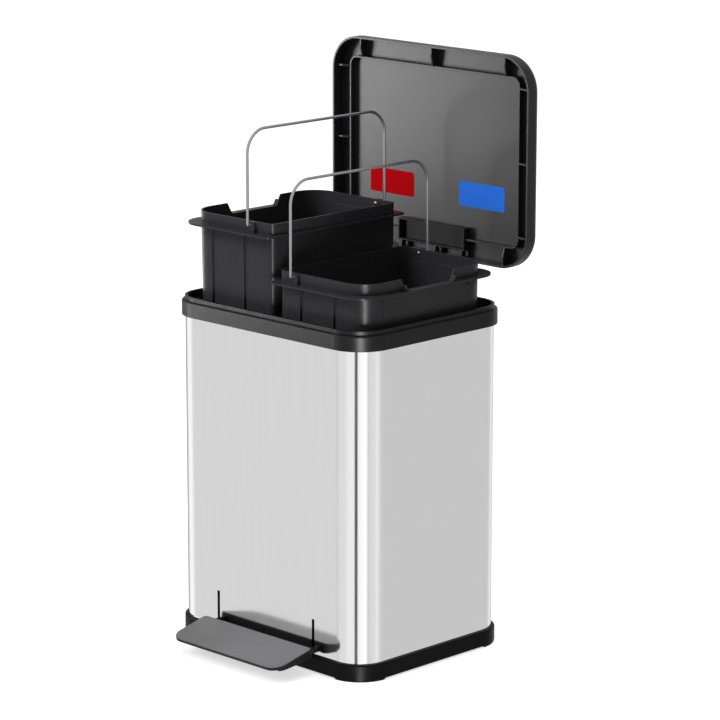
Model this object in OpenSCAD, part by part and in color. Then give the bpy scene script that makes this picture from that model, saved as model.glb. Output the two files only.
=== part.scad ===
// Double recycling bin: a steel housing with a pedal lid and two lift-out buckets.
// X runs along the front, Y to the back, Z up; the origin is on the floor under the
// middle of the whole open bin, pedal and lid included. It is drawn with the pedal
// pressed, the lid up and both buckets part of the way out, their handles upright.

/* [Housing] */
// Width of the steel housing
housing_w = 300; // [290:2:330]
// Depth of the steel housing
housing_d = 233; // [229:1:245]
// Corner radius of the steel housing
housing_r = 36; // [30:1:42]
// Thickness of the sheet steel
steel_t = 0.8; // [0.5:0.1:1.0]
// Height of the bin with its lid shut
bin_h = 410; // [400:2:440]

/* [Base] */
// How far the base and the rim stand out past the steel
skirt_out = 4; // [3.5:0.1:5]
// Height of the base ring's top above the floor
ring_top = 19.4; // [17:0.2:20]
// Height of the corner feet
foot_h = 2; // [1.5:0.1:3]
// Thickness of the base's floor
base_floor_t = 4; // [3:0.5:5]

/* [Rim] */
// Height of the rim's outer band
band_h = 17.3; // [14:0.1:22]
// Height of the rim's lip above the band
lip_h = 4.6; // [3.5:0.1:5]
// How far the lip stands back from the band's face
lip_inset = 3.6; // [3.2:0.1:3.9]
// Thickness of the rim's inner wall
rim_wall_t = 1.8; // [1.4:0.1:2.4]
// Thickness of the ledge that carries the buckets
ledge_t = 2.5; // [2:0.1:4]

/* [Lid] */
// Height of the lid over its edge
lid_h = 20; // [19:0.5:26]
// Thickness of the lid's top
lid_t = 4.5; // [3.5:0.1:5]
// Thickness of the lid's outer edge
lid_skirt_t = 2.4; // [1.8:0.1:2.6]
// Rounding of the lid's outer edge
lid_edge_r = 9; // [6:0.5:10]
// Thickness of the ribs under the lid
lid_rib_t = 2; // [1.4:0.1:3]

/* [Hinge] */
// Distance of the lid's hinge line behind the steel
hinge_back = 32.2; // [31.8:0.1:34]
// Diameter of the hinge pin
hinge_pin_d = 5; // [4:0.5:6]
// Half width of the hinge housing behind the steel
hinge_box_x = 58; // [56:1:70]
// Height of the hinge housing
hinge_box_h = 83; // [78:1:110]

/* [Buckets] */
// Thickness of the bucket walls
bucket_t = 2; // [1.6:0.1:2.2]
// Depth of the sunk panels in the bucket's front and back
panel_sink = 2.3; // [1.5:0.1:2.5]
// How far each bucket wall leans in towards the bottom
bucket_draft = 4; // [2.5:0.1:4.5]
// Height of the bucket's collar above its flange
collar_h = 12.7; // [12:0.1:13.5]
// Thickness of the bucket's flange
flange_t = 2; // [1.6:0.1:3]
// Height of a seated bucket's bottom above the floor
bucket_z = 50; // [49:1:70]
// Outer corner radius of a bucket
bucket_r = 30; // [24:1:34]

/* [Wire handles] */
// Diameter of the handle wire
wire_d = 3.2; // [2.6:0.1:3.4]
// Height of the handle's bar above its pivot
bail_h = 106.5; // [106.3:0.1:107.5]
// Radius of the handle's upper corners
bail_r = 27; // [20:1:32]

/* [Pedal] */
// Width of the pedal
pedal_w = 173; // [168:1:190]
// Depth of the pedal
pedal_depth = 56; // [50:1:64]
// Thickness of the pedal's plate under its cover
pedal_t = 2.8; // [2.4:0.1:3.2]
// Height of the pedal at its rear edge
pedal_rear_h = 11.5; // [10:0.5:13]
// Distance of each pedal arm from the pedal's end
arm_in = 9.8; // [8:0.1:14]
// Thickness of the pedal arms
arm_t = 3; // [2.5:0.1:3.3]
// Width of the slots for the arms
slot_w = 4; // [3.8:0.1:5]
// Diameter of the pedal axle
axle_d = 5; // [4:0.5:6]

/* [Push rod] */
// Diameter of the push rod
rod_d = 4; // [3.4:0.1:4.2]
// Distance of the rod's pin in front of the hinge pin
lever_reach = 14; // [13.6:0.1:14.4]

/* [Hidden] */
$fn = 64;

// How far the middle of the steel lies behind the middle of the whole open bin
frame_y = 9.9;

// The pose that is drawn: degrees that the lid stands open, how far each bucket is
// lifted off its seat, and degrees that the handles are folded outwards.
lid_open_full = 90;
lid_open = lid_open_full;
lift_left = 98;
lift_right = 49.5;
bail_fold = 0;

// Fits and overruns
over = 1;
rest_gap = 0.3;
fixed_fit = 0.02;
running_fit = 0.05;

// Housing levels
half_w = housing_w / 2;
half_d = housing_d / 2;
lid_gap = 1;
lid_edge_z = bin_h - lid_h;
band_top = lid_edge_z - lid_gap;
band_bottom = band_top - band_h;
floor_z = foot_h + base_floor_t;
bridge_t = 2.5;
steel_top = band_top - bridge_t;
steel_fit = 0.1;
edge_r = 2;

// Base
lip_t = 2;
base_lip_h = 6;
foot_inset = 0.8;
foot_w = 14;
boss_w = 6;
boss_gap = 3.5;

// Rim
rim_wall_x = steel_t + steel_fit + rim_wall_t;
notch_x = 56;

// Buckets: seat and outline of the right-hand one
flange_drop = 10;
flange_top = band_top - flange_drop;
flange_play_y = 3.8;
flange_x1 = half_w - rim_wall_x - rest_gap;
flange_y = half_d - rim_wall_x - flange_play_y;
bucket_gap = 0.8;
flange_x0 = bucket_gap / 2;
flange_out = 8.5;
flange_in = 4.6;
flange_side = 12;
wall_x0 = flange_x0 + flange_in;
wall_x1 = flange_x1 - flange_out;
wall_y = flange_y - flange_side;
bucket_in_r = 8;
bucket_floor_t = 2.5;
collar_top = flange_top + collar_h;
bucket_h = collar_top - bucket_z;
ledge_top = flange_top - flange_t - rest_gap;
ledge_in_x = 4;
ledge_in_y = 7;
ledge_r = 28;
gusset_w = 10;
gusset_h = 8;
gusset_out = 3;
gusset_in = 29.5;
gusset_y = wall_y - gusset_in;
panel_rib = 2.6;
panel_foot = 14;
panel_w_share = 0.368;
front_panel_share = 0.247;
back_panel_share = 0.262;
notch_top_y = 42;
notch_low_y = 35;

// Wire handles
bail_x = 34;
bail_rise = 8.6;
bail_z = flange_top + bail_rise;
bail_leg_out = 9.5;
bail_leg_y = wall_y + bail_leg_out;
bail_bend_r = 3;
bail_tip_in = 3;
lug_w = 7;
lug_out = 3.5;
rest_post_w = 5;
rest_post_y = notch_low_y + rest_post_w / 2;

// Hinge
hinge_y = half_d + hinge_back;
hinge_rise = 5.8;
hinge_z = lid_edge_z + hinge_rise;
pin_r = hinge_pin_d / 2;
eye_r = 8;
cheek_x = 50;
cheek_t = 5.5;
ear_t = 4;
ear_gap = 0.5;
ear_x = cheek_x - ear_gap - ear_t;
box_wall = 2.5;
box_plate_t = 3;
eye_gap = 1.3;
box_back = hinge_y + eye_r + eye_gap;
box_drop = 1;
box_top = band_top - box_drop;
box_bottom = box_top - hinge_box_h;
rim_gap = 0.3;
clip_t = 1;
clip_r = 4.5;
pin_over = 1.5;

// Lid lever and push rod
rod_r = rod_d / 2;
lever_a = 45;
rod_travel = 2 * lever_reach;
rod_out_y = hinge_y - lever_reach;
rod_inside = 7.7;
rod_in_y = half_d - steel_t - rod_inside;
rod_pin_z = hinge_z + lever_reach;
rod_bend_r = 8;
rod_hook_r = 3.5;
lever_x = 4;
lever_t = 4;
rod_pin_over = 2;
rod_pin_end = lever_x + lever_t + rod_pin_over;
slot_r0 = 13.8;
slot_r1 = 20.4;
slot_half = 3.4;
lever_wall = 3.6;
jog_rise = 45;
jog_z = box_bottom + jog_rise;
window_gap = 4;
window_x = 6;

// Pedal
arm_x = pedal_w / 2 - arm_in;
axle_y = -5;
axle_z = 14;
axle_r = axle_d / 2;
bar_r = 3;
bar_eye_r = 4;
bar_inside = 10.5;
bar_y = half_d - bar_inside;
bar_z = axle_z + rod_travel;
press_angle = atan(rod_travel / (bar_y - axle_y));
shut_share = 1 - lid_open / lid_open_full;
pedal_turn = press_angle * shut_share;
rod_drop = rod_travel * shut_share;
arm_half = 5;
arm_eye_r = 7;
leg_inside = 10.5;
leg_back_y = half_d - leg_inside;
leg_t = 8;
leg_front_y = leg_back_y + leg_t;
leg_top = 30;
tongue_top = 28;
tongue_bottom = 21;
slot_top = 60;
pedal_gap = 11.8;
pedal_top_z = 31.25;
pedal_slope = 12.7;
pedal_front_r = 16;
pedal_back_r = 4;
pedal_wall = 2.5;
pedal_front_h = 5.6;
pedal_body_in = 7;
cover_t = 1;
cover_inset = 0.3;
tongue_reach = 34;
foot_gap = 0.5;
rod_foot_r = 4.5;
rod_foot_h = 10;
rod_foot_floor = 2.5;
rod_foot_z = bar_z + bar_r + foot_gap;
guide_z = 150;
guide_h = 15;
guide_half_x = 8;
guide_out = 4;

// Screws
screw_r = 1.8;
screw_len = 7;
screw_head_r = 3.6;
screw_head_h = 2.4;
screw_x = 44;
screw_up = 14;
screw_down = 29;
boss_r = 4.2;

// Lid underside
inner_side_in = 18.5;
inner_front_in = 22;
inner_back_in = 20;
inner_x = half_w - inner_side_in;
inner_front = half_d - inner_front_in;
inner_back = half_d - inner_back_in;
inner_r = 9;
inner_t = 2;
inner_drop = 7.5;
rib_low = 4.6;
rib_flat = 9;
rib_foot = 3;
side_rib_in = 10.5;
end_rib_in = 18.5;
side_rib_y = inner_front - side_rib_in;
end_rib_x = inner_x - end_rib_in;
label_w = 69.8;
label_d = 28.5;
label_r = 2.5;
label_t = 0.3;
label_from_side = 60.5;
label_from_back = 50.25;
label_x = inner_x - label_from_side;
label_y = inner_back - label_from_back;
bracket_x = 52.3;
bracket_depth = 26;
bracket_back_in = 5.8;
bracket_back = half_d - bracket_back_in;
bracket_front = bracket_back - bracket_depth;
bracket_drop = 9;
bracket_t = 2;
bracket_gap = 0.3;
bracket_screw_x = 36;
bracket_floor_t = 3.2;
bracket_slack = 0.6;
skirt_notch_x = 52;
skirt_notch_h = 13.5;
panel_z = bin_h - lid_t;

// Rounded rectangle about the origin
module round_rect(size, r) {
    square([size.x - 2 * r, size.y], center = true);
    square([size.x, size.y - 2 * r], center = true);
    for (sx = [-1, 1], sy = [-1, 1])
        translate([sx * (size.x / 2 - r), sy * (size.y / 2 - r)]) circle(r);
}

// Rectangle from x0 to x1 and -y to y whose corners differ at x0 and x1
module two_r_rect(x0, x1, y, r0, r1) {
    translate([x0 + r0, -y]) square([x1 - x0 - r0 - r1, 2 * y]);
    translate([x0, r0 - y]) square([r0, 2 * (y - r0)]);
    translate([x1 - r1, r1 - y]) square([r1, 2 * (y - r1)]);
    for (s = [-1, 1]) {
        translate([x0 + r0, s * (y - r0)]) circle(r0);
        translate([x1 - r1, s * (y - r1)]) circle(r1);
    }
}

// A profile drawn as (distance outwards, height) and swept around the same rectangle
module around(x0, x1, y, r0, r1) {
    run_x = x1 - x0 - r0 - r1;
    translate([x1 - r1, y - r1]) corner_sweep(r1, 0) children();
    translate([x0 + r0, y - r0]) corner_sweep(r0, 90) children();
    translate([x0 + r0, r0 - y]) corner_sweep(r0, 180) children();
    translate([x1 - r1, r1 - y]) corner_sweep(r1, 270) children();
    translate([x1, y - r1]) side_sweep(2 * (y - r1), 0) children();
    translate([x0 + r0, y]) side_sweep(run_x, 90) children();
    translate([x0, r0 - y]) side_sweep(2 * (y - r0), 180) children();
    translate([x1 - r1, -y]) side_sweep(run_x, 270) children();
}

module corner_sweep(r, turn) {
    rotate([0, 0, turn]) rotate_extrude(angle = 90) translate([r, 0]) children();
}

module side_sweep(length, turn) {
    rotate([0, 0, turn]) rotate([90, 0, 0]) linear_extrude(length) children();
}

module around_housing() {
    around(-half_w, half_w, half_d, housing_r, housing_r) children();
}

// A bent round bar: a quarter turn in the YZ plane, from +Y towards +Z
module yz_bend(bend_r, bar_r) {
    rotate([90, 0, 90]) rotate_extrude(angle = 90) translate([bend_r, 0]) circle(bar_r);
}

// A flat plate drawn in (Y, Z) with its near face at x
module yz_plate(x, t) {
    translate([x, 0, 0]) rotate([90, 0, 90]) linear_extrude(t) children();
}

// A round bar or bore along X
module x_bar(x0, x1, r) {
    translate([x0, 0, 0]) rotate([0, 90, 0]) cylinder(h = x1 - x0, r = r);
}

// A round bar or bore along Y
module y_bar(y0, y1, r) {
    translate([0, y0, 0]) rotate([-90, 0, 0]) cylinder(h = y1 - y0, r = r);
}

module at_hinge() {
    translate([0, hinge_y, hinge_z]) children();
}

module at_axle() {
    translate([0, axle_y, axle_z]) children();
}

// Sheet steel sleeve with two pedal slots and a window for the push rod
module steel_body() {
    color("silver") difference() {
        translate([0, 0, floor_z]) linear_extrude(steel_top - floor_z) difference() {
            round_rect([housing_w, housing_d], housing_r);
            round_rect([housing_w - 2 * steel_t, housing_d - 2 * steel_t], housing_r - steel_t);
        }
        for (s = [-1, 1])
            translate([s * arm_x - slot_w / 2, -half_d - over, floor_z - over])
                cube([slot_w, steel_t + 2 * over, slot_top - floor_z + over]);
        rod_window();
        at_screws() y_bar(half_d - steel_t - over, half_d + over, screw_r + steel_fit);
    }
}

module rod_window() {
    low = jog_z - rod_travel - rod_r - window_gap;
    translate([-window_x, half_d - steel_t - over, low])
        cube([2 * window_x, steel_t + box_plate_t + 2 * over, jog_z + rod_r + window_gap - low]);
}

module at_screws() {
    for (s = [-1, 1], z = [box_bottom + screw_up, box_top - screw_down])
        translate([s * screw_x, 0, z]) children();
}

// Moulded base: floor, ring around the steel, corner feet and bosses for the axle
module base() {
    color("#1c1c1e") {
        difference() {
            union() {
                around_housing() ring_profile();
                translate([0, 0, foot_h]) linear_extrude(base_floor_t)
                    round_rect([housing_w + skirt_out, housing_d + skirt_out],
                        housing_r + skirt_out / 2);
            }
            for (s = [-1, 1]) {
                translate([s * arm_x - slot_w, -half_d, floor_z])
                    cube([2 * slot_w, steel_t + steel_fit + lip_t + over, base_lip_h + over]);
            }
        }
        feet();
        for (s = [-1, 1]) axle_boss(s);
    }
}

module ring_profile() {
    outer = skirt_out - steel_fit;
    translate([steel_fit, foot_h]) square([outer, ring_top - foot_h - edge_r]);
    translate([steel_fit, foot_h]) square([outer - edge_r, ring_top - foot_h]);
    translate([skirt_out - edge_r, ring_top - edge_r]) circle(edge_r);
    translate([-steel_t - steel_fit - lip_t, foot_h]) square([lip_t, floor_z - foot_h + base_lip_h]);
}

module feet() {
    outer = [housing_w + 2 * (skirt_out - foot_inset), housing_d + 2 * (skirt_out - foot_inset)];
    r = housing_r + skirt_out - foot_inset;
    linear_extrude(foot_h) intersection() {
        difference() {
            round_rect(outer, r);
            round_rect([outer.x - 2 * foot_w, outer.y - 2 * foot_w], r - foot_w);
        }
        for (sx = [-1, 1], sy = [-1, 1])
            translate([sx * outer.x / 2, sy * outer.y / 2]) square(2 * r, center = true);
    }
}

module axle_boss(s) {
    near = arm_x + arm_t / 2 + boss_gap;
    difference() {
        yz_plate(s > 0 ? near : -near - boss_w, boss_w) {
            translate([axle_y, axle_z]) circle(arm_eye_r);
            translate([axle_y - arm_eye_r, floor_z - foot_h / 2])
                square([2 * arm_eye_r, axle_z - floor_z + foot_h / 2]);
        }
        at_axle() x_bar(-half_w, half_w, axle_r + fixed_fit);
    }
}

// Moulded rim: outer band, lip, inner wall astride the steel and the ledge for the buckets
module top_rim() {
    ledge_root = rim_wall_x - rim_wall_t / 2;
    color("#1f1f21") difference() {
        union() {
            around_housing() rim_profile();
            translate([0, 0, ledge_top - ledge_t]) linear_extrude(ledge_t) difference() {
                round_rect([2 * (half_w - ledge_root), 2 * (half_d - ledge_root)],
                    housing_r - ledge_root);
                round_rect([2 * (flange_x1 - ledge_in_x), 2 * (flange_y - ledge_in_y)], ledge_r);
            }
        }
        translate([-notch_x, half_d - 2 * skirt_out, band_top])
            cube([2 * notch_x, 4 * skirt_out, lip_h + over]);
    }
}

module rim_profile() {
    lip_out = skirt_out - lip_inset;
    translate([steel_fit, band_bottom]) square([skirt_out - steel_fit, band_h - edge_r]);
    translate([-rim_wall_x, steel_top]) square([rim_wall_x + skirt_out - edge_r, bridge_t]);
    translate([skirt_out - edge_r, band_top - edge_r]) circle(edge_r);
    translate([-rim_wall_x, band_bottom]) square([rim_wall_t, band_h]);
    translate([-rim_wall_x, steel_top]) square([rim_wall_x + lip_out, bridge_t + lip_h]);
}

// Box behind the rim that holds the hinge pin, the lid's lever and the head of the push rod
module hinge_housing() {
    color("#1c1c1e") difference() {
        union() {
            translate([-hinge_box_x, half_d, box_bottom]) difference() {
                cube([2 * hinge_box_x, box_back - half_d, hinge_box_h]);
                translate([box_wall, box_plate_t, box_wall])
                    cube([2 * (hinge_box_x - box_wall), box_back - half_d - box_plate_t - box_wall,
                        hinge_box_h]);
            }
            for (s = [-1, 1]) cheek(s > 0 ? cheek_x : -cheek_x - cheek_t);
            at_screws() y_bar(half_d, half_d + screw_len + over, boss_r);
        }
        translate([-hinge_box_x - over, half_d - over, band_bottom - rim_gap])
            cube([2 * (hinge_box_x + over), skirt_out + rim_gap + over, hinge_box_h]);
        rod_window();
        at_screws() y_bar(half_d - over, half_d + screw_len - steel_t, screw_r + fixed_fit);
        at_hinge() x_bar(-hinge_box_x - over, hinge_box_x + over, pin_r + fixed_fit);
    }
}

module cheek(x) {
    yz_plate(x, cheek_t) {
        translate([hinge_y, hinge_z]) circle(eye_r);
        translate([hinge_y - eye_r, box_bottom + over])
            square([box_back - hinge_y + eye_r - box_wall / 2, hinge_z - eye_r - box_bottom]);
        translate([hinge_y - eye_r, hinge_z - 2 * eye_r]) square([2 * eye_r, 2 * eye_r]);
    }
}

module hinge_pin() {
    color("silver") at_hinge() x_bar(-hinge_box_x - pin_over, hinge_box_x + pin_over, pin_r);
}

// Push-on clips at the ends of the hinge pin
module pin_clips() {
    color("dimgray") at_hinge() for (s = [-1, 1]) difference() {
        x_bar(s * (hinge_box_x + clip_t / 2) - clip_t / 2, s * (hinge_box_x + clip_t / 2) + clip_t / 2,
            clip_r);
        x_bar(-hinge_box_x - 2 * pin_over, hinge_box_x + 2 * pin_over, pin_r + fixed_fit);
    }
}

// Four screws from inside the steel into the hinge housing
module housing_screws() {
    inner = half_d - steel_t;
    color("silver") at_screws() {
        y_bar(inner - screw_head_h, inner, screw_head_r);
        y_bar(inner - screw_head_h / 2, inner + screw_len - over, screw_r);
    }
}

module pedal_axle() {
    end = arm_x + arm_t / 2 + boss_gap + boss_w;
    color("silver") at_axle() x_bar(-end, end, axle_r);
}

// Guide on the steel's inner face that keeps the push rod upright
module rod_guide() {
    color("#1c1c1e") difference() {
        translate([-guide_half_x, rod_in_y - guide_out, guide_z])
            cube([2 * guide_half_x, half_d - steel_t - rod_in_y + guide_out, guide_h]);
        translate([0, rod_in_y, guide_z - over]) cylinder(h = guide_h + 2 * over, r = rod_r + running_fit);
    }
}

// Everything on the pedal turns about the axle as the lid shuts
module pedal_pose() {
    at_axle() rotate([-pedal_turn, 0, 0]) translate([0, -axle_y, -axle_z]) children();
}

// Flat steel arms that meet in a cross bar under the push rod
module pedal_frame() {
    color("#2a2a2c") pedal_pose() {
        for (s = [-1, 1]) difference() {
            yz_plate(s * arm_x - arm_t / 2, arm_t) arm_outline();
            at_axle() x_bar(-half_w, half_w, axle_r + running_fit);
        }
        translate([0, bar_y, bar_z]) x_bar(-arm_x, arm_x, bar_r);
    }
}

module arm_outline() {
    translate([axle_y, axle_z]) circle(arm_eye_r);
    translate([-leg_back_y, axle_z - arm_half]) square([leg_back_y + axle_y, 2 * arm_half]);
    translate([-leg_front_y, axle_z - arm_half]) square([leg_t, leg_top - axle_z + arm_half]);
    root_y = -half_d - pedal_gap;
    root_z = pedal_top_z - (cover_t + pedal_t + fixed_fit) / cos(pedal_slope);
    fall = tongue_reach * tan(pedal_slope);
    polygon([[-leg_back_y, tongue_bottom], [-leg_back_y, tongue_top], [root_y, root_z],
        [root_y - tongue_reach, root_z - fall], [root_y - tongue_reach, root_z - fall - arm_t],
        [root_y, tongue_bottom]]);
    translate([axle_y, axle_z]) rotate(press_angle)
        translate([0, -arm_half]) square([rod_travel / sin(press_angle), 2 * arm_half]);
    translate([bar_y, bar_z]) circle(bar_eye_r);
}

// The pedal's own frame: origin at the middle of its top rear edge, front towards -Y
module pedal_frame_of_reference() {
    pedal_pose() translate([0, -half_d - pedal_gap, pedal_top_z]) rotate([pedal_slope, 0, 0]) children();
}

// Outline of the pedal seen from above, drawn in by inset
module pedal_outline(inset) {
    w = pedal_w / 2 - inset;
    d = pedal_depth - inset;
    translate([pedal_front_r - w, -d]) square([2 * (w - pedal_front_r), pedal_front_r]);
    translate([-w, pedal_front_r - d]) square([2 * w, d - pedal_front_r - pedal_back_r - inset]);
    translate([pedal_back_r - w, -pedal_back_r - inset]) square([2 * (w - pedal_back_r), pedal_back_r]);
    for (s = [-1, 1]) {
        translate([s * (w - pedal_front_r), pedal_front_r - d]) circle(pedal_front_r);
        translate([s * (w - pedal_back_r), -pedal_back_r - inset]) circle(pedal_back_r);
    }
}

// Side view of the pedal's wedge under its plate, with its walls drawn in by inset
module pedal_wedge(inset, low) {
    top = -cover_t - pedal_t;
    front = pedal_body_in - pedal_depth + inset;
    yz_plate(inset - pedal_w / 2, pedal_w - 2 * inset)
        polygon([[-inset, top + over / 2 - inset], [-inset, -pedal_rear_h - low],
            [front, -pedal_front_h - low], [front, top + over / 2 - inset]]);
}

// Moulded pedal: a thin plate on a hollow wedge, with slots for the two arms
module pedal_plate() {
    under = cover_t + pedal_t;
    slot_reach = tongue_reach / cos(pedal_slope) + arm_t;
    color("#1c1c1e") pedal_frame_of_reference() difference() {
        union() {
            translate([0, 0, -under]) linear_extrude(pedal_t) pedal_outline(0);
            intersection() {
                pedal_wedge(0, 0);
                translate([0, 0, -2 * pedal_rear_h]) linear_extrude(2 * pedal_rear_h)
                    pedal_outline(0);
            }
        }
        intersection() {
            pedal_wedge(pedal_wall, over);
            translate([0, 0, -2 * pedal_rear_h]) linear_extrude(2 * pedal_rear_h - under)
                pedal_outline(pedal_wall);
        }
        for (s = [-1, 1])
            translate([s * arm_x - arm_t / 2 - steel_fit, -slot_reach, -2 * pedal_rear_h])
                cube([arm_t + 2 * steel_fit, slot_reach + over, 2 * pedal_rear_h - under]);
    }
}

// Soft cover that lies on the pedal's plate
module pedal_cover() {
    color("gray") pedal_frame_of_reference() translate([0, 0, -cover_t])
        linear_extrude(cover_t) pedal_outline(cover_inset);
}

// Wire from the cross bar up inside the steel, out through the window and into the lid's lever
module push_rod() {
    low_z = rod_foot_z + rod_foot_floor;
    color("silver") translate([0, 0, -rod_drop]) {
        translate([0, rod_in_y, low_z]) cylinder(h = jog_z - rod_bend_r - low_z, r = rod_r);
        translate([0, rod_in_y + rod_bend_r, jog_z - rod_bend_r]) mirror([0, 1, 0])
            yz_bend(rod_bend_r, rod_r);
        translate([0, 0, jog_z]) y_bar(rod_in_y + rod_bend_r, rod_out_y - rod_bend_r, rod_r);
        translate([0, rod_out_y - rod_bend_r, jog_z + rod_bend_r]) rotate([-90, 0, 0])
            yz_bend(rod_bend_r, rod_r);
        translate([0, rod_out_y, jog_z + rod_bend_r])
            cylinder(h = rod_pin_z - rod_hook_r - jog_z - rod_bend_r, r = rod_r);
        translate([rod_hook_r, rod_out_y, rod_pin_z - rod_hook_r]) rotate([90, 0, 0])
            rotate([0, 0, 90]) rotate_extrude(angle = 90) translate([rod_hook_r, 0]) circle(rod_r);
        translate([0, rod_out_y, rod_pin_z]) x_bar(rod_hook_r, rod_pin_end, rod_r);
    }
}

// Cap on the rod's lower end that rides on the cross bar
module rod_foot() {
    color("#1c1c1e") translate([0, rod_in_y, rod_foot_z - rod_drop]) difference() {
        cylinder(h = rod_foot_h, r = rod_foot_r);
        translate([0, 0, rod_foot_floor]) cylinder(h = rod_foot_h, r = rod_r + fixed_fit);
    }
}

// The lid and all that is fixed to it are drawn shut and swung open about the hinge pin
module lid_pose() {
    at_hinge() rotate([-lid_open, 0, 0]) translate([0, -hinge_y, -hinge_z]) children();
}

// Moulded lid: rounded edge, deep skirt, inner wall round the panel and ribs in the moat
module lid() {
    edge_in = lid_edge_r - skirt_out;
    color("#2b2b2d") lid_pose() difference() {
        union() {
            around_housing() lid_edge_profile();
            translate([0, 0, panel_z]) linear_extrude(lid_t)
                round_rect([housing_w - 2 * edge_in, housing_d - 2 * edge_in], housing_r - edge_in);
            inner_wall();
            lid_ribs();
        }
        translate([-bracket_x - bracket_gap, bracket_front - bracket_gap, lid_edge_z])
            cube([2 * (bracket_x + bracket_gap), bracket_back - bracket_front + bracket_gap
                + bracket_slack + bracket_t, panel_z - lid_edge_z]);
        translate([-skirt_notch_x, bracket_back, lid_edge_z - over])
            cube([2 * skirt_notch_x, half_d + 2 * skirt_out - bracket_back, skirt_notch_h + over]);
        bracket_screw_places() translate([0, 0, panel_z - over])
            cylinder(h = lid_t - over, r = screw_r + fixed_fit);
    }
}

module lid_edge_profile() {
    arc_z = bin_h - lid_edge_r;
    difference() {
        union() {
            translate([skirt_out - lid_edge_r - over, lid_edge_z])
                square([lid_edge_r + over, arc_z - lid_edge_z]);
            translate([skirt_out - lid_edge_r, arc_z]) circle(lid_edge_r);
        }
        translate([skirt_out - 3 * lid_edge_r, lid_edge_z - over])
            square([3 * lid_edge_r - lid_skirt_t, panel_z - lid_edge_z + over]);
        translate([skirt_out - 3 * lid_edge_r, lid_edge_z - over])
            square([2 * lid_edge_r - over, 2 * lid_h]);
    }
}

module inner_wall() {
    mid = (inner_back - inner_front) / 2;
    half = (inner_back + inner_front) / 2;
    translate([0, mid, 0]) around(-inner_x, inner_x, half, inner_r, inner_r)
        translate([0, panel_z - inner_drop]) square([inner_t, inner_drop + over]);
}

// Outline of one rib in (distance in from the skirt, height)
module rib_outline(reach) {
    top = panel_z + over / 2;
    low = lid_edge_z + rib_low;
    polygon([[-over / 2, low], [rib_flat, low], [reach + over / 2, low + rib_foot],
        [reach + over / 2, top], [-over / 2, top]]);
}

module lid_ribs() {
    skirt_x = half_w + skirt_out - lid_skirt_t;
    skirt_y = half_d + skirt_out - lid_skirt_t;
    for (s = [-1, 1], y = [-side_rib_y, 0, side_rib_y])
        translate([s * skirt_x, y, 0]) rotate([0, 0, s > 0 ? 180 : 0])
            lid_rib(skirt_x - inner_x - inner_t);
    for (x = [-end_rib_x, 0, end_rib_x])
        translate([x, -skirt_y, 0]) rotate([0, 0, 90]) lid_rib(skirt_y - inner_front - inner_t);
    for (x = [-end_rib_x, end_rib_x])
        translate([x, skirt_y, 0]) rotate([0, 0, -90]) lid_rib(skirt_y - inner_back - inner_t);
}

module lid_rib(reach) {
    translate([0, lid_rib_t / 2, 0]) rotate([90, 0, 0]) linear_extrude(lid_rib_t) rib_outline(reach);
}

module bracket_screw_places() {
    for (s = [-1, 1], y = [bracket_front + 2 * bracket_t + screw_head_r,
            bracket_back - 2 * bracket_t - screw_head_r])
        translate([s * bracket_screw_x, y, 0]) children();
}

// Open box screwed under the lid, with two ears on the hinge pin and the slotted lever
module lid_bracket() {
    low = panel_z - bracket_drop;
    depth = bracket_back - bracket_front;
    color("#242426") lid_pose() difference() {
        union() {
            translate([-bracket_x, bracket_front, low]) difference() {
                cube([2 * bracket_x, depth, bracket_drop]);
                translate([bracket_t, bracket_t, -over])
                    cube([2 * (bracket_x - bracket_t), depth - 2 * bracket_t,
                        bracket_drop - bracket_floor_t + over]);
            }
            for (x = [ear_x, -ear_x - ear_t]) yz_plate(x, ear_t) ear_outline();
            yz_plate(lever_x, lever_t) lever_outline();
        }
        at_hinge() x_bar(-hinge_box_x, hinge_box_x, pin_r + running_fit);
        at_hinge() rotate([lever_a, 0, 0]) lever_slot();
        bracket_screw_places() {
            translate([0, 0, low - over]) cylinder(h = bracket_drop + 2 * over, r = screw_r + steel_fit);
            translate([0, 0, low - over])
                cylinder(h = bracket_drop - bracket_floor_t + screw_head_h + over,
                    r = screw_head_r + steel_fit);
        }
    }
}

module ear_outline() {
    translate([hinge_y, hinge_z]) circle(eye_r);
    polygon([[bracket_back - bracket_t / 2, panel_z - bracket_drop],
        [hinge_y, hinge_z - eye_r], [hinge_y, hinge_z + eye_r - over],
        [bracket_back - bracket_t / 2, panel_z - bracket_floor_t]]);
}

module lever_outline() {
    half = slot_half + lever_wall;
    ear_outline();
    translate([hinge_y, hinge_z]) rotate(180 + lever_a) {
        translate([0, -half]) square([slot_r1, 2 * half]);
        translate([slot_r1, 0]) circle(half);
    }
}

// Runs from slot_r0 to slot_r1 towards -Y of its own frame
module lever_slot() {
    for (r = [slot_r0, slot_r1])
        translate([0, -r, 0]) x_bar(lever_x - over, lever_x + lever_t + over, slot_half);
    translate([lever_x - over, -slot_r1, -slot_half])
        cube([lever_t + 2 * over, slot_r1 - slot_r0, 2 * slot_half]);
}

module bracket_screws() {
    color("silver") lid_pose() bracket_screw_places() {
        translate([0, 0, panel_z - bracket_floor_t]) cylinder(h = screw_head_h, r = screw_head_r);
        translate([0, 0, panel_z - bracket_floor_t + screw_head_h / 2])
            cylinder(h = lid_t - over + bracket_floor_t - screw_head_h / 2 - over, r = screw_r);
    }
}

module label(side) {
    lid_pose() translate([side * label_x, label_y, panel_z - label_t]) linear_extrude(label_t)
        round_rect([label_w, label_d], label_r);
}

module red_label() {
    color("#c40010") label(-1);
}

module blue_label() {
    color("#2b66d6") label(1);
}

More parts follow.
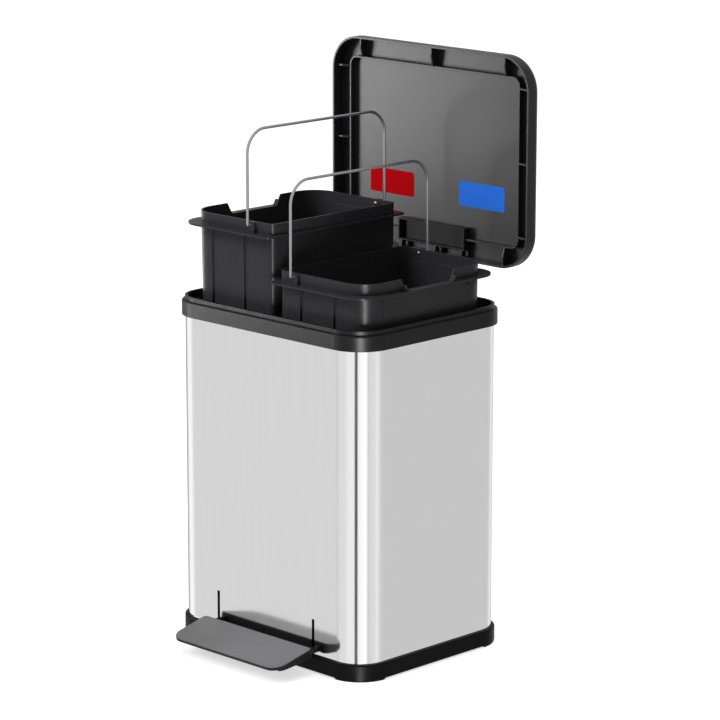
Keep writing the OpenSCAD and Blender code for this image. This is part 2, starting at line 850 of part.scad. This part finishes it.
// The right-hand bucket where it is seated; the left-hand one is the same, turned about
module bucket() {
    difference() {
        union() {
            translate([0, 0, bucket_z]) around(wall_x0, wall_x1, wall_y, bucket_in_r, bucket_r)
                polygon([[0, bucket_h], [-bucket_t, bucket_h], [-bucket_t - bucket_draft, 0],
                    [-bucket_draft, 0]]);
            translate([0, 0, bucket_z]) linear_extrude(bucket_floor_t)
                two_r_rect(wall_x0 + bucket_draft, wall_x1 - bucket_draft, wall_y - bucket_draft,
                    bucket_in_r - bucket_draft, bucket_r - bucket_draft);
            bucket_flange();
            sunk_panels(bucket_t, panel_sink + bucket_t, bucket_t);
            for (s = [-1, 1]) {
                bail_lug(s);
                rest_post(s);
                gusset(s);
            }
        }
        sunk_panels(-over, panel_sink, 0);
        collar_notch();
        translate([bail_x, 0, bail_z]) y_bar(-wall_y - lug_out - over, wall_y + lug_out + over,
            wire_d / 2 + running_fit);
    }
}

// The panels in the front and the back wall, from one depth to another and wider by grow
module sunk_panels(from, to, grow) {
    wall_w = wall_x1 - wall_x0;
    panel_w = panel_w_share * wall_w;
    front_x = wall_x0 + front_panel_share * wall_w;
    back_x = wall_x1 - back_panel_share * wall_w - panel_w;
    corner_x = wall_x1 - bucket_r - bucket_t;
    sunk_panel(-1, front_x, front_x + panel_w, from, to, grow);
    sunk_panel(-1, front_x + panel_w + panel_rib, corner_x, from, to, grow);
    sunk_panel(1, back_x, back_x + panel_w, from, to, grow);
    sunk_panel(1, wall_x0 + bucket_in_r + bucket_t, back_x - panel_rib, from, to, grow);
}

module sunk_panel(side, x0, x1, from, to, grow) {
    low = bucket_z + panel_foot - grow;
    high = flange_top - flange_t + grow;
    lean_low = wall_y - bucket_draft * (collar_top - low) / bucket_h;
    lean_high = wall_y - bucket_draft * (collar_top - high) / bucket_h;
    yz_plate(x0 - grow, x1 - x0 + 2 * grow)
        polygon([[side * (lean_low - from), low], [side * (lean_low - to), low],
            [side * (lean_high - to), high], [side * (lean_high - from), high]]);
}

module bucket_flange() {
    slope = bucket_draft * (collar_h + flange_t / 2) / bucket_h;
    translate([0, 0, flange_top - flange_t]) linear_extrude(flange_t) difference() {
        two_r_rect(flange_x0, flange_x1, flange_y, bucket_in_r, bucket_r);
        two_r_rect(wall_x0 + slope + bucket_t / 2, wall_x1 - slope - bucket_t / 2,
            wall_y - slope - bucket_t / 2, bucket_in_r - slope - bucket_t / 2,
            bucket_r - slope - bucket_t / 2);
    }
}

// Ear on the front or the back of the collar that takes the end of the handle
module bail_lug(s) {
    near_y = s > 0 ? wall_y - bucket_t : -wall_y - lug_out;
    translate([bail_x - lug_w / 2, near_y, flange_top - flange_t / 2])
        cube([lug_w, lug_out + bucket_t, collar_h + flange_t / 2]);
}

// Small post beside the notch that the folded handle comes to rest on
module rest_post(s) {
    top = bail_z - wire_d / 2 - rest_gap;
    translate([wall_x1 - bucket_t, s * rest_post_y - rest_post_w / 2, flange_top - flange_t / 2])
        cube([flange_out - bucket_t, rest_post_w, top - flange_top + flange_t / 2]);
}

// Round-ended web under the flange
module gusset(s) {
    low = flange_top - flange_t - gusset_h + gusset_w / 2;
    translate([wall_x1 - bucket_t, s * gusset_y, 0]) rotate([90, 0, 90])
        linear_extrude(gusset_out + bucket_t) {
            translate([0, low]) circle(gusset_w / 2);
            translate([-gusset_w / 2, low]) square([gusset_w, flange_top - flange_t / 2 - low]);
        }
}

module collar_notch() {
    translate([wall_x1 - bucket_r, 0, 0]) rotate([90, 0, 90]) linear_extrude(2 * bucket_r)
        polygon([[-notch_low_y, flange_top], [notch_low_y, flange_top],
            [notch_top_y, collar_top - rest_gap], [notch_top_y, collar_top + over],
            [-notch_top_y, collar_top + over], [-notch_top_y, collar_top - rest_gap]]);
}

module bucket_right() {
    color("#2d2d2f") translate([0, 0, lift_right]) bucket();
}

module bucket_left() {
    color("#2d2d2f") translate([0, 0, lift_left]) rotate([0, 0, 180]) bucket();
}

// One handle, upright, with the middle of its pivot line at the origin
module bail() {
    for (s = [0, 1]) mirror([0, s, 0]) {
        y_bar(wall_y - bucket_t - bail_tip_in, bail_leg_y - bail_bend_r, wire_d / 2);
        translate([0, bail_leg_y - bail_bend_r, bail_bend_r]) rotate([-90, 0, 0])
            yz_bend(bail_bend_r, wire_d / 2);
        translate([0, bail_leg_y, bail_bend_r])
            cylinder(h = bail_h - bail_r - bail_bend_r, r = wire_d / 2);
        translate([0, bail_leg_y - bail_r, bail_h - bail_r]) yz_bend(bail_r, wire_d / 2);
    }
    translate([0, 0, bail_h]) y_bar(bail_r - bail_leg_y, bail_leg_y - bail_r, wire_d / 2);
}

module bail_right() {
    color("silver") translate([bail_x, 0, bail_z + lift_right]) rotate([0, bail_fold, 0]) bail();
}

module bail_left() {
    color("silver") translate([-bail_x, 0, bail_z + lift_left]) rotate([0, -bail_fold, 0]) bail();
}

// The parts are drawn about the middle of the steel and then moved to the origin
module placed() {
    translate([0, frame_y, 0]) children();
}

placed() steel_body();
placed() base();
placed() top_rim();
placed() hinge_housing();
placed() hinge_pin();
placed() pin_clips();
placed() housing_screws();
placed() pedal_axle();
placed() rod_guide();
placed() pedal_frame();
placed() pedal_plate();
placed() pedal_cover();
placed() push_rod();
placed() rod_foot();
placed() lid();
placed() lid_bracket();
placed() bracket_screws();
placed() red_label();
placed() blue_label();
placed() bucket_left();
placed() bucket_right();
placed() bail_left();
placed() bail_right();
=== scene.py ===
"""Double recycling bin: camera, materials, light and small finishing pieces."""
import math

import bpy
from mathutils import Matrix, Vector


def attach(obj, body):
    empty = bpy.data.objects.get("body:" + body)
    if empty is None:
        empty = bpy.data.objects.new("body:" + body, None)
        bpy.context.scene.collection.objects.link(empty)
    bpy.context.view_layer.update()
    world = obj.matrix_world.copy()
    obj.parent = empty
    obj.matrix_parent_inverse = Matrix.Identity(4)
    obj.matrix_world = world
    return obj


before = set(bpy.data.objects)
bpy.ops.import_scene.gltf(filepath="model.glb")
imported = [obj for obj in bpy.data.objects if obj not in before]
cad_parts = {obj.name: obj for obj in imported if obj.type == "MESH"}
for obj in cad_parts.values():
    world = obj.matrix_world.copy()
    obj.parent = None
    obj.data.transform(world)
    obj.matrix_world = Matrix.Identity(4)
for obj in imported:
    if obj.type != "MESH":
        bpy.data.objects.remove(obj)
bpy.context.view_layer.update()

MM = 0.001

# How far the middle of the steel housing lies behind the origin
FRAME_Y = 9.9 * MM

# The photograph's camera: sensor and lens in millimetres, angles in degrees, places in metres
SENSOR = 36.0
LENS = 164.46
AZIMUTH = 44.818
PITCH = 12.999
ROLL = 0.054
DISTANCE = 3707.77 * MM
AIM_HEIGHT = 322.439 * MM
SIDE_STEP = 23.868 * MM

# The domed ends of the handle wires: for each handle the place of its ends in millimetres along
# X and Z, then their distance from the housing's middle, the dome's radius and height, and how
# many flats and rings it has
WIRE_ENDS = [("left", -34.0, 485.6), ("right", 34.0, 437.1)]
WIRE_END_Y = 93.0
DOME_RADIUS = 2.2
DOME_HEIGHT = 1.4
DOME_STEPS = 20
DOME_RINGS = 5

# Brightness of the studio walls by compass direction seen from the bin: degrees from the
# front towards the right, and grey. The narrow dark entry is the gap between two wall panels.
WALLS = [(-180, 0.85), (-135, 0.5), (-120, 0.36), (-104, 0.4), (-90, 0.98), (-66, 0.98),
         (-56, 0.7), (-41, 0.7), (-38.5, 0.55), (-35, 0.74), (-10, 0.76), (0, 0.86), (24, 0.9),
         (28, 0.05), (34, 0.05), (38, 0.95), (66, 1.1), (73, 0.63), (80, 0.72), (98, 0.76),
         (107, 0.87), (121, 0.66), (128, 0.6), (150, 0.59), (165, 0.62), (180, 0.85)]
SOFT_LIGHT = 0.75

# The floor's half width in metres, and its glow for the bin and for the camera
FLOOR_HALF = 12.0
FLOOR_GLOW = (0.25, 0.6)

MIDDLE = (0.0, 0.0, 0.35)
BUCKETS = ("bucket_left", "bucket_right")
RINGS = ("base", "top_rim")
LID_PARTS = ("lid", "lid_bracket", "bracket_screws")

# General lights: name, place, width and height in metres, watts
STUDIO_LIGHTS = [
    ("key", (-1.6, -2.4, 2.2), (1.6, 1.6), 55.0),
    ("top", (0.2, -0.2, 3.0), (2.0, 2.0), 38.0),
    ("rear_edge", (-0.6, 2.6, 1.8), (1.8, 1.2), 18.0),
]

# Lights that reach only some black plastic parts: name, place, target, size, watts, whether they
# show in reflections, the parts they reach, and whether only those parts shade them
LINKED_LIGHTS = [
    ("lid_glow", (-1.1, -0.7, 0.58), (-0.05, 0.15, 0.6), (0.5, 0.66), 15.2, True, LID_PARTS, True),
    ("front_glow", (-1.25, -0.95, 0.4), (-0.1, -0.1, 0.35), (0.4, 0.8), 16.0, True, RINGS, False),
    ("corner_strip", (1.26, -1.18, -0.18), (0.14, -0.1, 0.3), (0.3, 0.8), 42.0, True,
     RINGS + BUCKETS, True),
    ("left_strip", (-1.7, 0.25, 0.45), (-0.13, -0.05, 0.42), (0.3, 1.0), 4.5, True, BUCKETS, False),
    ("bucket_fill", (-0.9, -1.9, 2.3), (0.0, 0.0, 0.45), (1.0, 1.0), 140.0, False, BUCKETS, True),
]


def new_material(name):
    """An empty node material with its shader, ready to be filled."""
    material = bpy.data.materials.new(name)
    material.use_nodes = True
    nodes = material.node_tree.nodes
    return material, nodes, material.node_tree.links, nodes["Principled BSDF"]


def noise(nodes, links, coordinates, scale, detail=4.0, stretch=(1.0, 1.0, 1.0)):
    """Noise on the object's own coordinates, drawn out along its axes by stretch."""
    mapping = nodes.new("ShaderNodeMapping")
    mapping.inputs["Scale"].default_value = stretch
    links.new(coordinates.outputs["Object"], mapping.inputs["Vector"])
    texture = nodes.new("ShaderNodeTexNoise")
    texture.inputs["Scale"].default_value = scale
    texture.inputs["Detail"].default_value = detail
    links.new(mapping.outputs["Vector"], texture.inputs["Vector"])
    return texture


def ramp_between(nodes, links, texture, low, high, start=0.3, end=0.7):
    """A colour ramp from low to high over the middle of a noise's values."""
    ramp = nodes.new("ShaderNodeValToRGB")
    ramp.color_ramp.elements[0].position = start
    ramp.color_ramp.elements[1].position = end
    ramp.color_ramp.elements[0].color = (*low, 1.0)
    ramp.color_ramp.elements[1].color = (*high, 1.0)
    links.new(texture.outputs["Fac"], ramp.inputs["Fac"])
    return ramp


def range_of(nodes, links, texture, low, high):
    """A number from low to high that follows a noise."""
    spread = nodes.new("ShaderNodeMapRange")
    spread.inputs["From Min"].default_value = 0.3
    spread.inputs["From Max"].default_value = 0.7
    spread.inputs["To Min"].default_value = low
    spread.inputs["To Max"].default_value = high
    links.new(texture.outputs["Fac"], spread.inputs["Value"])
    return spread


def moulded_plastic(name, colour, roughness=0.42, grain=0.00003, specular=0.5, patchy=0.045):
    """Moulded plastic: fine spark-eroded grain, faint cloudiness and softened edges."""
    material, nodes, links, shader = new_material(name)
    place = nodes.new("ShaderNodeTexCoord")
    cloud = noise(nodes, links, place, 9.0)
    darker = tuple(0.86 * part for part in colour)
    lighter = tuple(1.14 * part for part in colour)
    tone = ramp_between(nodes, links, cloud, darker, lighter)
    links.new(tone.outputs["Color"], shader.inputs["Base Color"])
    wear = noise(nodes, links, place, 55.0, 6.0)
    rough = range_of(nodes, links, wear, roughness - patchy, roughness + patchy)
    links.new(rough.outputs["Result"], shader.inputs["Roughness"])
    fine = noise(nodes, links, place, 2600.0, 2.0)
    edge = nodes.new("ShaderNodeBevel")
    edge.samples = 4
    edge.inputs["Radius"].default_value = 0.0007
    bump = nodes.new("ShaderNodeBump")
    bump.inputs["Distance"].default_value = grain
    bump.inputs["Strength"].default_value = 0.6
    links.new(fine.outputs["Fac"], bump.inputs["Height"])
    links.new(edge.outputs["Normal"], bump.inputs["Normal"])
    links.new(bump.outputs["Normal"], shader.inputs["Normal"])
    shader.inputs["Specular IOR Level"].default_value = specular
    return material


def metal(name, colour, roughness, spread, stretch, scale, depth):
    """Metal whose fine marks run one way, set by stretch."""
    material, nodes, links, shader = new_material(name)
    shader.inputs["Metallic"].default_value = 1.0
    place = nodes.new("ShaderNodeTexCoord")
    marks = noise(nodes, links, place, scale, 3.0, stretch)
    darker = tuple(0.985 * part for part in colour)
    tone = ramp_between(nodes, links, marks, darker, colour)
    links.new(tone.outputs["Color"], shader.inputs["Base Color"])
    rough = range_of(nodes, links, marks, roughness, roughness + spread)
    links.new(rough.outputs["Result"], shader.inputs["Roughness"])
    bump = nodes.new("ShaderNodeBump")
    bump.inputs["Distance"].default_value = depth
    bump.inputs["Strength"].default_value = 0.3
    links.new(marks.outputs["Fac"], bump.inputs["Height"])
    links.new(bump.outputs["Normal"], shader.inputs["Normal"])
    return material


def label_film(name, colour):
    """Printed film: even colour with a faint orange-peel surface."""
    material, nodes, links, shader = new_material(name)
    place = nodes.new("ShaderNodeTexCoord")
    cloud = noise(nodes, links, place, 30.0)
    darker = tuple(0.94 * part for part in colour)
    tone = ramp_between(nodes, links, cloud, darker, colour)
    links.new(tone.outputs["Color"], shader.inputs["Base Color"])
    peel = noise(nodes, links, place, 700.0, 2.0)
    bump = nodes.new("ShaderNodeBump")
    bump.inputs["Distance"].default_value = 0.00001
    links.new(peel.outputs["Fac"], bump.inputs["Height"])
    links.new(bump.outputs["Normal"], shader.inputs["Normal"])
    shader.inputs["Roughness"].default_value = 0.55
    shader.inputs["Specular IOR Level"].default_value = 0.03
    return material


def dress(material, *names):
    """Give CAD nodes a material."""
    for name in names:
        mesh = bpy.data.objects[name].data
        mesh.materials.clear()
        mesh.materials.append(material)


def dress_all():
    dress(metal("polished_steel", (0.95, 0.95, 0.955), 0.1, 0.03, (6.0, 6.0, 0.25), 60.0, 0.000004),
          "steel_body")
    dress(metal("bright_wire", (0.46, 0.46, 0.47), 0.34, 0.06, (1.0, 1.0, 1.0), 300.0, 0.00001),
          "bail_left", "bail_right")
    dress(metal("plain_steel", (0.7, 0.7, 0.71), 0.3, 0.1, (1.0, 1.0, 1.0), 200.0, 0.00002),
          "hinge_pin", "pin_clips", "housing_screws", "pedal_axle", "push_rod")
    dress(moulded_plastic("base_plastic", (0.0022, 0.0022, 0.0024), 0.32, specular=0.05), "base")
    dress(moulded_plastic("rim_plastic", (0.0035, 0.0035, 0.0037), 0.36, specular=0.17), "top_rim")
    dress(moulded_plastic("housing_plastic", (0.01, 0.01, 0.011), specular=0.25),
          "hinge_housing", "rod_guide", "rod_foot")
    dress(moulded_plastic("black_steel", (0.006, 0.006, 0.006), 0.35, 0.00001, 0.2), "pedal_frame")
    dress(moulded_plastic("pedal_plastic", (0.01, 0.01, 0.0105), specular=0.25), "pedal_plate")
    dress(moulded_plastic("pedal_cover", (0.12, 0.12, 0.123), 0.38), "pedal_cover")
    dress(moulded_plastic("lid_plastic", (0.01, 0.01, 0.0105), 0.33, 0.000006, 0.25, 0.01), "lid")
    dress(moulded_plastic("bracket_plastic", (0.007, 0.007, 0.0077), 0.35, specular=0.08),
          "lid_bracket", "bracket_screws")
    dress(moulded_plastic("bucket_plastic", (0.011, 0.011, 0.0118), 0.31, 0.000008, 0.1),
          "bucket_left", "bucket_right")
    dress(label_film("red_label", (0.43, 0.0005, 0.0035)), "red_label")
    dress(label_film("blue_label", (0.026, 0.155, 0.7)), "blue_label")


def camera_axes():
    """The camera's right, up and back directions."""
    azimuth = math.radians(AZIMUTH)
    pitch = math.radians(PITCH)
    back = Vector((math.sin(azimuth) * math.cos(pitch), -math.cos(azimuth) * math.cos(pitch),
                   math.sin(pitch)))
    right = Vector((math.cos(azimuth), math.sin(azimuth), 0.0))
    return right, back.cross(right), back


def make_camera():
    right, up, back = camera_axes()
    data = bpy.data.cameras.new("camera")
    data.sensor_width = SENSOR
    data.lens = LENS
    data.clip_end = 50.0
    camera = bpy.data.objects.new("camera", data)
    bpy.context.collection.objects.link(camera)
    place = Vector((0.0, FRAME_Y, AIM_HEIGHT)) + back * DISTANCE + right * SIDE_STEP
    turn = Matrix((right, up, back)).transposed() @ Matrix.Rotation(math.radians(ROLL), 3, "Z")
    camera.matrix_world = Matrix.Translation(place) @ turn.to_4x4()
    bpy.context.scene.camera = camera


def area_light(name, place, target, size, power, glossy=False):
    data = bpy.data.lights.new(name, "AREA")
    data.shape = "RECTANGLE"
    data.size, data.size_y = size
    data.energy = power
    light = bpy.data.objects.new(name, data)
    bpy.context.collection.objects.link(light)
    light.location = place
    aim = Vector(target) - Vector(place)
    light.rotation_euler = aim.to_track_quat("-Z", "Y").to_euler()
    light.visible_camera = False
    light.visible_glossy = glossy
    return light


def shine_on(light, *names, free=False):
    """Let a light reach only the named CAD nodes; if free, only they can shade it."""
    receivers = bpy.data.collections.new(light.name + "_reach")
    for name in names:
        receivers.objects.link(bpy.data.objects[name])
    light.light_linking.receiver_collection = receivers
    if free:
        light.light_linking.blocker_collection = receivers


def wall_ramp(nodes, links):
    """The walls' grey for the direction in which a reflected ray leaves."""
    place = nodes.new("ShaderNodeTexCoord")
    split = nodes.new("ShaderNodeSeparateXYZ")
    links.new(place.outputs["Generated"], split.inputs["Vector"])
    flip = nodes.new("ShaderNodeMath")
    flip.operation = "MULTIPLY"
    flip.inputs[1].default_value = -1.0
    links.new(split.outputs["Y"], flip.inputs[0])
    angle = nodes.new("ShaderNodeMath")
    angle.operation = "ARCTAN2"
    links.new(split.outputs["X"], angle.inputs[0])
    links.new(flip.outputs[0], angle.inputs[1])
    share = nodes.new("ShaderNodeMapRange")
    share.inputs["From Min"].default_value = -math.pi
    share.inputs["From Max"].default_value = math.pi
    links.new(angle.outputs[0], share.inputs["Value"])
    ramp = nodes.new("ShaderNodeValToRGB")
    elements = ramp.color_ramp.elements
    while len(elements) > 1:
        elements.remove(elements[0])
    for index, (degrees, grey) in enumerate(WALLS):
        position = (degrees + 180.0) / 360.0
        entry = elements[0] if index == 0 else elements.new(position)
        entry.position = position
        entry.color = (grey, grey, grey, 1.0)
    links.new(share.outputs["Result"], ramp.inputs["Fac"])
    return ramp


def make_world():
    """White for the camera, panelled walls for reflections, an even soft grey for the rest."""
    world = bpy.data.worlds.new("studio")
    bpy.context.scene.world = world
    world.use_nodes = True
    nodes, links = world.node_tree.nodes, world.node_tree.links
    nodes.clear()
    ramp = wall_ramp(nodes, links)
    soft = nodes.new("ShaderNodeBackground")
    soft.inputs["Color"].default_value = (0.98, 0.985, 1.0, 1.0)
    soft.inputs["Strength"].default_value = SOFT_LIGHT
    walls = nodes.new("ShaderNodeBackground")
    links.new(ramp.outputs["Color"], walls.inputs["Color"])
    white = nodes.new("ShaderNodeBackground")
    white.inputs["Color"].default_value = (1.0, 1.0, 1.0, 1.0)
    rays = nodes.new("ShaderNodeLightPath")
    glossy = nodes.new("ShaderNodeMixShader")
    links.new(rays.outputs["Is Glossy Ray"], glossy.inputs["Fac"])
    links.new(soft.outputs[0], glossy.inputs[1])
    links.new(walls.outputs[0], glossy.inputs[2])
    seen = nodes.new("ShaderNodeMixShader")
    links.new(rays.outputs["Is Camera Ray"], seen.inputs["Fac"])
    links.new(glossy.outputs[0], seen.inputs[1])
    links.new(white.outputs[0], seen.inputs[2])
    out = nodes.new("ShaderNodeOutputWorld")
    links.new(seen.outputs[0], out.inputs["Surface"])


def make_floor():
    """A wide pale floor that reflected rays pass through, so that the steel sees the walls."""
    mesh = bpy.data.meshes.new("floor")
    corners = [(-FLOOR_HALF, -FLOOR_HALF, 0), (FLOOR_HALF, -FLOOR_HALF, 0),
               (FLOOR_HALF, FLOOR_HALF, 0), (-FLOOR_HALF, FLOOR_HALF, 0)]
    mesh.from_pydata(corners, [], [(0, 1, 2, 3)])
    floor = bpy.data.objects.new("floor", mesh)
    bpy.context.collection.objects.link(floor)
    material, nodes, links, shader = new_material("floor_paint")
    shader.inputs["Base Color"].default_value = (0.6, 0.6, 0.6, 1.0)
    shader.inputs["Roughness"].default_value = 0.9
    shader.inputs["Specular IOR Level"].default_value = 0.0
    shader.inputs["Emission Color"].default_value = (1.0, 1.0, 1.0, 1.0)
    clear = nodes.new("ShaderNodeBsdfTransparent")
    rays = nodes.new("ShaderNodeLightPath")
    lift = nodes.new("ShaderNodeMapRange")
    lift.inputs["To Min"].default_value, lift.inputs["To Max"].default_value = FLOOR_GLOW
    links.new(rays.outputs["Is Camera Ray"], lift.inputs["Value"])
    links.new(lift.outputs["Result"], shader.inputs["Emission Strength"])
    mix = nodes.new("ShaderNodeMixShader")
    links.new(rays.outputs["Is Glossy Ray"], mix.inputs["Fac"])
    links.new(shader.outputs[0], mix.inputs[1])
    links.new(clear.outputs[0], mix.inputs[2])
    links.new(mix.outputs[0], nodes["Material Output"].inputs["Surface"])
    mesh.materials.append(material)


def make_lights():
    for name, place, size, power in STUDIO_LIGHTS:
        area_light(name, place, MIDDLE, size, power)
    for name, place, target, size, power, glossy, parts, free in LINKED_LIGHTS:
        shine_on(area_light(name, place, target, size, power, glossy), *parts, free=free)


def dome():
    """Points in millimetres and faces of a closed dome that stands on the XZ plane towards +Y."""
    points, faces = [], []
    for ring in range(DOME_RINGS):
        turn = math.radians(90.0 * ring / DOME_RINGS)
        radius, reach = DOME_RADIUS * math.cos(turn), DOME_HEIGHT * math.sin(turn)
        for step in range(DOME_STEPS):
            around = 2.0 * math.pi * step / DOME_STEPS
            points.append((radius * math.cos(around), reach, radius * math.sin(around)))
    points.append((0.0, DOME_HEIGHT, 0.0))
    for ring in range(DOME_RINGS - 1):
        for step in range(DOME_STEPS):
            a, b = ring * DOME_STEPS + step, ring * DOME_STEPS + (step + 1) % DOME_STEPS
            faces.append((a, a + DOME_STEPS, b + DOME_STEPS, b))
    last = (DOME_RINGS - 1) * DOME_STEPS
    for step in range(DOME_STEPS):
        faces.append((last + step, len(points) - 1, last + (step + 1) % DOME_STEPS))
    faces.append(tuple(range(DOME_STEPS)))
    return points, faces


def wire_tip(name, x, y, z, inward):
    """One dome at a wire's end, pointing along Y by the sign of inward, smooth but for its foot."""
    points, faces = dome()
    placed = [(MM * (x + px), FRAME_Y + MM * (y + inward * py), MM * (z + pz))
              for px, py, pz in points]
    if inward < 0:
        faces = [tuple(reversed(face)) for face in faces]
    mesh = bpy.data.meshes.new(name)
    mesh.from_pydata(placed, [], faces)
    for face in mesh.polygons:
        face.use_smooth = len(face.vertices) < DOME_STEPS
    piece = bpy.data.objects.new(name, mesh)
    bpy.context.collection.objects.link(piece)
    mesh.materials.append(bpy.data.materials["bright_wire"])
    return piece


def wire_tips():
    """The bright ends of the handle wires, domed where they show inside the buckets."""
    for side, x, z in WIRE_ENDS:
        for end, inward in (("front", 1.0), ("back", -1.0)):
            name = "wire_tip_" + side + "_" + end
            piece = wire_tip(name, x, -inward * WIRE_END_Y, z, inward)
            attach(piece, side + "_handle")


dress_all()
wire_tips()
make_camera()
make_world()
make_floor()
make_lights()

bpy.context.scene.view_settings.view_transform = "Standard"
